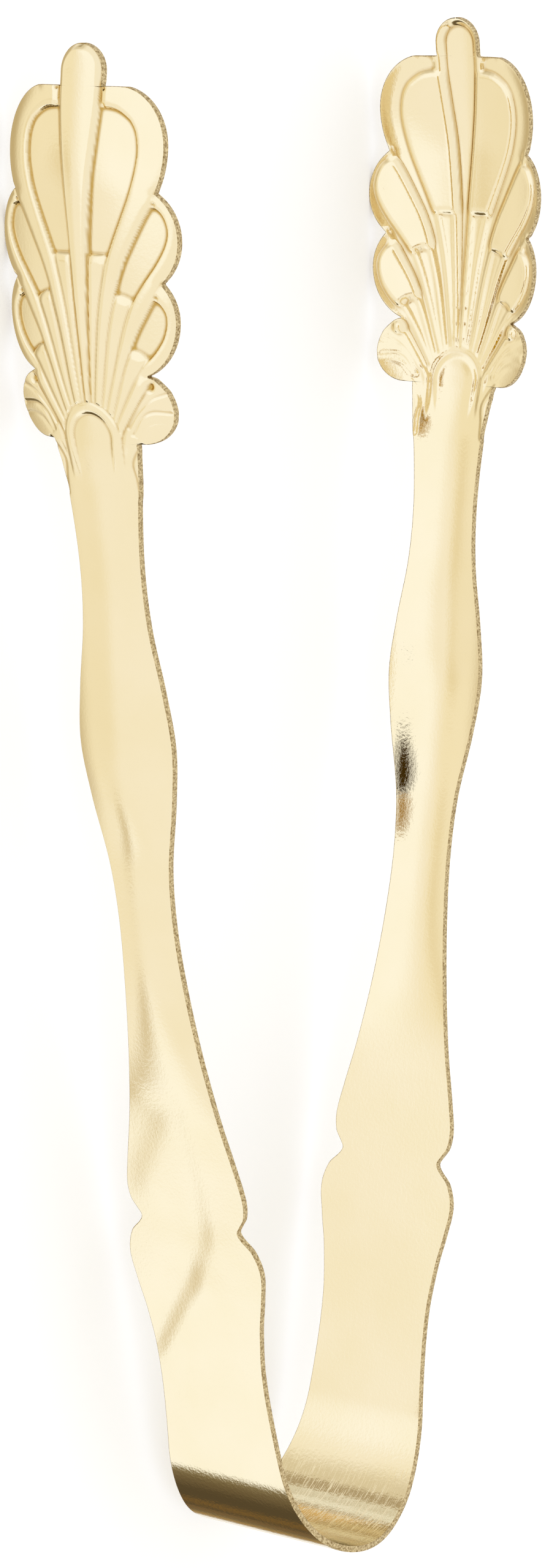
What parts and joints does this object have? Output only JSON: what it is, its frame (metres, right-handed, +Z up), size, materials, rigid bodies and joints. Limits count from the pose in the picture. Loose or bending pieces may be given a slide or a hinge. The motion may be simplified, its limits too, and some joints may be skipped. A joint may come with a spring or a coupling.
{
  "type": "ice tongs",
  "caption": "Spring ice tongs stamped from one strip of sheet metal: a round bow, two notched and dished arms, and a pressed palmette claw on each end.",
  "frame": {"origin": "middle of the footprint, on the surface that the tongs lie on with their side edges down", "axes": "+X across the spread of the arms, +Y along the arms from the bow to the claw tips, +Z up across the width of the strip"},
  "size_m": [0.0724, 0.1799, 0.0253],
  "materials": {
    "gold_plate": "polished pale gold plating over stamped sheet"
  },
  "bodies": {
    "bow": {"bow_crown": "gold_plate"},
    "left_bow_side": {"left_bow_side": "gold_plate"},
    "left_lower_arm": {"left_lower_arm": "gold_plate"},
    "left_arm": {"left_shoulder": "gold_plate", "left_stem": "gold_plate", "left_shell": "gold_plate"},
    "right_bow_side": {"right_bow_side": "gold_plate"},
    "right_lower_arm": {"right_lower_arm": "gold_plate"},
    "right_arm": {"right_shoulder": "gold_plate", "right_stem": "gold_plate", "right_shell": "gold_plate"}
  },
  "joints": [
    {"name": "left_bow_flex", "type": "hinge", "parent": "bow", "child": "left_bow_side", "pos_m": [-0.00936, -0.08486, 0.01267], "axis": [0, 0, -1], "range_deg": [0, 2.95], "stiffness_Nm_per_rad": 9},
    {"name": "left_side_flex", "type": "hinge", "parent": "left_bow_side", "child": "left_lower_arm", "pos_m": [-0.01318, -0.07681, 0.01267], "axis": [0, 0, -1], "range_deg": [0, 3.78], "stiffness_Nm_per_rad": 8},
    {"name": "left_arm_flex", "type": "hinge", "parent": "left_lower_arm", "child": "left_arm", "pos_m": [-0.01667, -0.05833, 0.01267], "axis": [0, 0, -1], "range_deg": [0, 5.11], "stiffness_Nm_per_rad": 4},
    {"name": "right_bow_flex", "type": "hinge", "parent": "bow", "child": "right_bow_side", "pos_m": [0.00936, -0.08486, 0.01267], "axis": [0, 0, 1], "range_deg": [0, 2.95], "stiffness_Nm_per_rad": 9},
    {"name": "right_side_flex", "type": "hinge", "parent": "right_bow_side", "child": "right_lower_arm", "pos_m": [0.01318, -0.07681, 0.01267], "axis": [0, 0, 1], "range_deg": [0, 3.78], "stiffness_Nm_per_rad": 8},
    {"name": "right_arm_flex", "type": "hinge", "parent": "right_lower_arm", "child": "right_arm", "pos_m": [0.01667, -0.05833, 0.01267], "axis": [0, 0, 1], "range_deg": [0, 5.11], "stiffness_Nm_per_rad": 4}
  ],
  "couplings": [
    {"joint": "left_side_flex", "follows": "left_bow_flex", "ratio": 1.28},
    {"joint": "left_arm_flex", "follows": "left_bow_flex", "ratio": 1.73},
    {"joint": "right_bow_flex", "follows": "left_bow_flex", "ratio": 1},
    {"joint": "right_side_flex", "follows": "left_bow_flex", "ratio": 1.28},
    {"joint": "right_arm_flex", "follows": "left_bow_flex", "ratio": 1.73}
  ]
}
